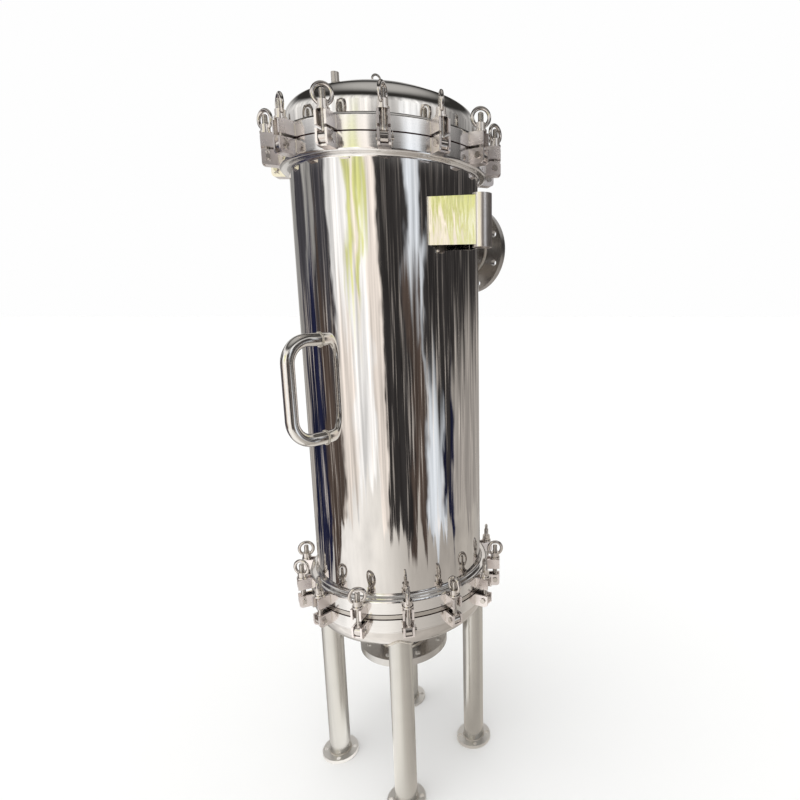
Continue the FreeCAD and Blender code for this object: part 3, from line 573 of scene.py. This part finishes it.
HANDLE_AZIMUTH = -44.0
HANDLE_HEIGHT = 1.1325
HANDLE_SPAN = 0.230
HANDLE_RADIUS = 0.015
HANDLE_WELD, HANDLE_RIPPLE = 0.0028, 0.25
finish_node("carry_handle", mirror_steel("polished_stainless_bar", "#e9e6e2", (60, 60, 90), 0.00003,
                                         (0.12, 0.17)))
beads = []
for height in (HANDLE_HEIGHT - HANDLE_SPAN / 2, HANDLE_HEIGHT + HANDLE_SPAN / 2):
    seam, out = shell_seam(HANDLE_RADIUS, height, 240)
    beads.append(weld_bead(seam, out + [1, 0, 0], HANDLE_WELD, ripple=HANDLE_RIPPLE))
piece = new_piece("handle_welds", at_azimuth(beads, HANDLE_AZIMUTH), brushed_weld)
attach(piece, "root")


# Davit socket. A short upright tube for the post of the lid's hoist, on two polished plates that
# spread to the shell and are welded to it along their outer edges, on both faces.

DAVIT_AZIMUTH = 43.0
DAVIT_SPREAD = 17.0     # degrees round the shell from the socket's middle to each plate's edge
DAVIT_LOW, DAVIT_HIGH = 1.453, 1.553
DAVIT_FACE = 0.0028     # from the middle of a plate's edge to a weld
DAVIT_WELD = 0.0016
finish_node("davit_sleeve", ground_steel("satin_ground_stainless_tube", "#f0e9e4", 0.31, (1.4, 1.4, 60),
                                         0.0000015))
finish_node("davit_plates", mirror_steel("buffed_stainless_plate", "#dfdbd6", (16, 16, 70), 0.0007,
                                         (0.05, 0.12)))
beads = []
for side in (1, -1):
    for face in (1, -1):
        swing = side * (math.radians(DAVIT_SPREAD) + face * DAVIT_FACE / SHELL_RADIUS)
        x, y = SHELL_RADIUS * math.cos(swing), SHELL_RADIUS * math.sin(swing)
        seam = np.linspace([x, y, DAVIT_LOW], [x, y, DAVIT_HIGH], 134)
        beads.append(weld_bead(seam, [1.0, side * face * 0.6, 0.0], DAVIT_WELD, closed=False))
piece = new_piece("davit_welds", at_azimuth(beads, DAVIT_AZIMUTH), brushed_weld)
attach(piece, "root")


# Lid. A dished end like the bottom head's, with a short stub for the air vent and a bent-rod loop
# to lift it by, both welded on.

LID_KNUCKLE = 0.046
LID_SPRING = 1.7305
VENT_CIRCLE, VENT_AZIMUTH = 0.156, -37.0
VENT_RADIUS, VENT_WELD = 0.0086, 0.0018
LOOP_MIDDLE = -0.015    # along X
LOOP_HALF, LOOP_SLANT = 0.010, 25
LOOP_WIRE, LOOP_WELD = 0.0025, 0.0013


def lid_height(radius):
    """Height of the lid's crown at a radius: part of a ball as wide as the lid."""
    inner = LID_RADIUS - LID_KNUCKLE
    centre = LID_SPRING - math.sqrt((2 * LID_RADIUS - LID_KNUCKLE) ** 2 - inner ** 2)
    return centre + np.sqrt(4 * LID_RADIUS ** 2 - radius ** 2)


finish_node("lid_dome", mirror_steel("mirror_polished_stainless_lid", "#eceae7", (90, 90, 60), 0.0002))
finish_node("vent_nipple", ground_steel("turned_stainless_stub", "#b9b4ae", 0.2, (12, 12, 1.0)))
finish_node("lifting_loop", ground_steel("bent_stainless_rod", "#c6c1bb", 0.24, (6, 6, 2.0)))
turn = math.radians(VENT_AZIMUTH - 90)
slant = math.radians(LOOP_SLANT)
feet = [([VENT_CIRCLE * math.cos(turn), VENT_CIRCLE * math.sin(turn), 0], VENT_RADIUS, VENT_WELD)]
for side in (1, -1):
    foot = [LOOP_MIDDLE + side * LOOP_HALF * math.cos(slant), side * LOOP_HALF * math.sin(slant), 0]
    feet.append((foot, LOOP_WIRE, LOOP_WELD))
spoke = spokes(120)
beads = []
for centre, radius, size in feet:
    seam = spoke * radius + centre
    seam[:, 2] = lid_height(np.hypot(seam[:, 0], seam[:, 1]))
    beads.append(weld_bead(seam, spoke + [0, 0, 1], size))
piece = new_piece("lid_welds", beads, brushed_weld)
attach(piece, "root")


# Lugs. Plates welded to the rings in pairs, buffed bright, with a headed pin through each lower
# pair. The pin's other end stands out and is kept by a split pin.

def bright_steel(name, colour, roughness):
    """Stainless steel buffed bright but not to a mirror, so that soft clouds of haze are left on it."""
    look, tree = new_look(name)
    cloud = marks(tree, object_place(tree), (18, 18, 18), 4.0)
    tone = blended(tree, cloud, linear(colour, 0.95), linear(colour, 1.02))
    rough = ranged(tree, cloud, NOISE_SPAN, (roughness * 0.8, roughness * 1.2))
    return finished(look, {"Metallic": 1.0, "Base Color": tone, "Roughness": rough}, cloud, 0.15, 0.00005)


def split_pin(centre):
    """Split pin through a hinge pin's tail: a round wire that makes an eye above the pin, and two legs
    that come out below and are bent apart."""
    wire, eye_radius, eye_height = 0.0009, 0.0030, 0.0088
    leg_start, leg_drop, leg_spread = 0.0045, 0.0050, 0.0042
    sweep = np.linspace(-0.42 * np.pi, 1.42 * np.pi, 15)
    eye = np.stack([eye_radius * np.cos(sweep), 0 * sweep, eye_height + eye_radius * np.sin(sweep)], axis=1)
    bend = np.linspace(0, 1, 7)
    lines = [np.concatenate([[[wire, 0, 0]], eye, [[-wire, 0, 0]]])]
    for side in (1, -1):
        lines.append(np.stack([side * (wire + leg_spread * bend ** 2), 0 * bend,
                               -leg_start - leg_drop * bend], axis=1))
    return [weld_bead(line + centre, [0, 1, 0], wire, closed=False, ripple=0, sides=5) for line in lines]


BOLTS = 14
PIN_CIRCLE = 0.268
PIN_TAIL = 0.0165
# Each closure's name, its first bolt's azimuth, and the heights of its hinge pins, of the ring above its
# seam, of the ring below, and of its nuts
CLOSURES = [("top", 2.7, 1.6495, 1.6685, 1.6655, 1.6987), ("bottom", 5.4, 0.558, 0.590, 0.574, 0.6202)]
LUG_ROOT = 0.2459                         # where the plates meet the ring's rim
LUG_INSIDE, LUG_OUTSIDE = 0.0085, 0.0135  # a plate's two faces, from the bolt's middle
LUG_WELD, WELD_START = 0.0011, 0.002      # a weld's size, and how far from the ring's edge it starts
UPPER_END, LOWER_END = 0.026, 0.028       # how far from the edge it ends
buffed_lug = bright_steel("buffed_stainless_lug", "#f8f1ef", 0.30)
for name in ("lid_lugs", "shell_top_lugs", "shell_bottom_lugs", "bottom_head_lugs"):
    finish_node(name, buffed_lug)
finish_node("hinge_pins", ground_steel("turned_stainless_pin", "#d3cdc7", 0.2, (4, 4, 4)))

all_pins, all_beads = [], []
for closure, first, pin, ring_above, ring_below, nut in CLOSURES:
    beads = []
    for low, high in ((ring_above + WELD_START, ring_above + UPPER_END),
                      (ring_below - LOWER_END, ring_below - WELD_START)):
        for side in (1, -1):
            for face, lean in ((LUG_INSIDE, -1), (LUG_OUTSIDE, 1)):
                seam = np.linspace([LUG_ROOT, side * face, low], [LUG_ROOT, side * face, high], 25)
                beads.append(weld_bead(seam, [1, side * lean, 0], LUG_WELD, closed=False, sides=5))
    pins = split_pin([PIN_CIRCLE, PIN_TAIL, pin])
    for index in range(BOLTS):
        azimuth = first + index * 360 / BOLTS
        all_pins += at_azimuth(pins, azimuth)
        all_beads += at_azimuth(beads, azimuth)
piece = new_piece("split_pins", all_pins, bright_steel("drawn_stainless_wire", "#d6d2cd", 0.2))
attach(piece, "root")
piece = new_piece("lug_welds", all_beads, brushed_weld)
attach(piece, "root")


# Swing bolts. Eye bolts on the hinge pins, each with a cast ring nut that is tightened with a bar.
# The thread is rolled, and shows above the nut and in the lug under it.

THREAD_PITCH, THREAD_SIDES = 0.0022, 16
THREAD_ROOT, THREAD_DEPTH, THREAD_FADE = 0.00604, 0.00045, 0.002
THREAD_START = 0.014                # over the hinge pin
NUT_TOP, BOLT_END = 0.0185, 0.0378  # over the nut's seat
NUT_CLEAR = 0.0005                  # between the seat and the thread under it


def bolt_thread(low, high):
    """Thread round the bolt's shank: a tube whose radius rises and falls with height and turn together,
    so that its crest climbs one pitch in a turn. Drawn 2.2 mm a pitch so that it shows."""
    rise = np.linspace(low, high, round((high - low) / THREAD_PITCH * 6))[:, None]
    phase = rise / THREAD_PITCH - np.arange(THREAD_SIDES) / THREAD_SIDES
    crest = 1 - np.abs(2 * (phase - np.floor(phase)) - 1)
    fade = np.clip(np.minimum(rise - low, high - rise) / THREAD_FADE, 0, 1)
    radius = THREAD_ROOT + THREAD_DEPTH * crest * fade
    grid = radius[..., None] * spokes(THREAD_SIDES) + rise[..., None] * [0, 0, 1] + [PIN_CIRCLE, 0, 0]
    return grid, False, True


cast_nut = bright_steel("buffed_cast_stainless", "#dcd6d1", 0.13)
rolled_thread = bright_steel("rolled_stainless_thread", "#cbc6c0", 0.22)
for closure, first, pin, ring_above, ring_below, nut in CLOSURES:
    threads = [bolt_thread(pin + THREAD_START, nut - NUT_CLEAR),
               bolt_thread(nut + NUT_TOP, nut + BOLT_END)]
    for index in range(BOLTS):
        name = "%s_swing_bolt_%02d" % (closure, index + 1)
        finish_node(name, cast_nut)
        body = next(body for body, empty in frame["bodies"].items() if frame["nodes"][name].parent == empty)
        piece = new_piece(name + "_thread", at_azimuth(threads, first + index * 360 / BOLTS), rolled_thread)
        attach(piece, body)
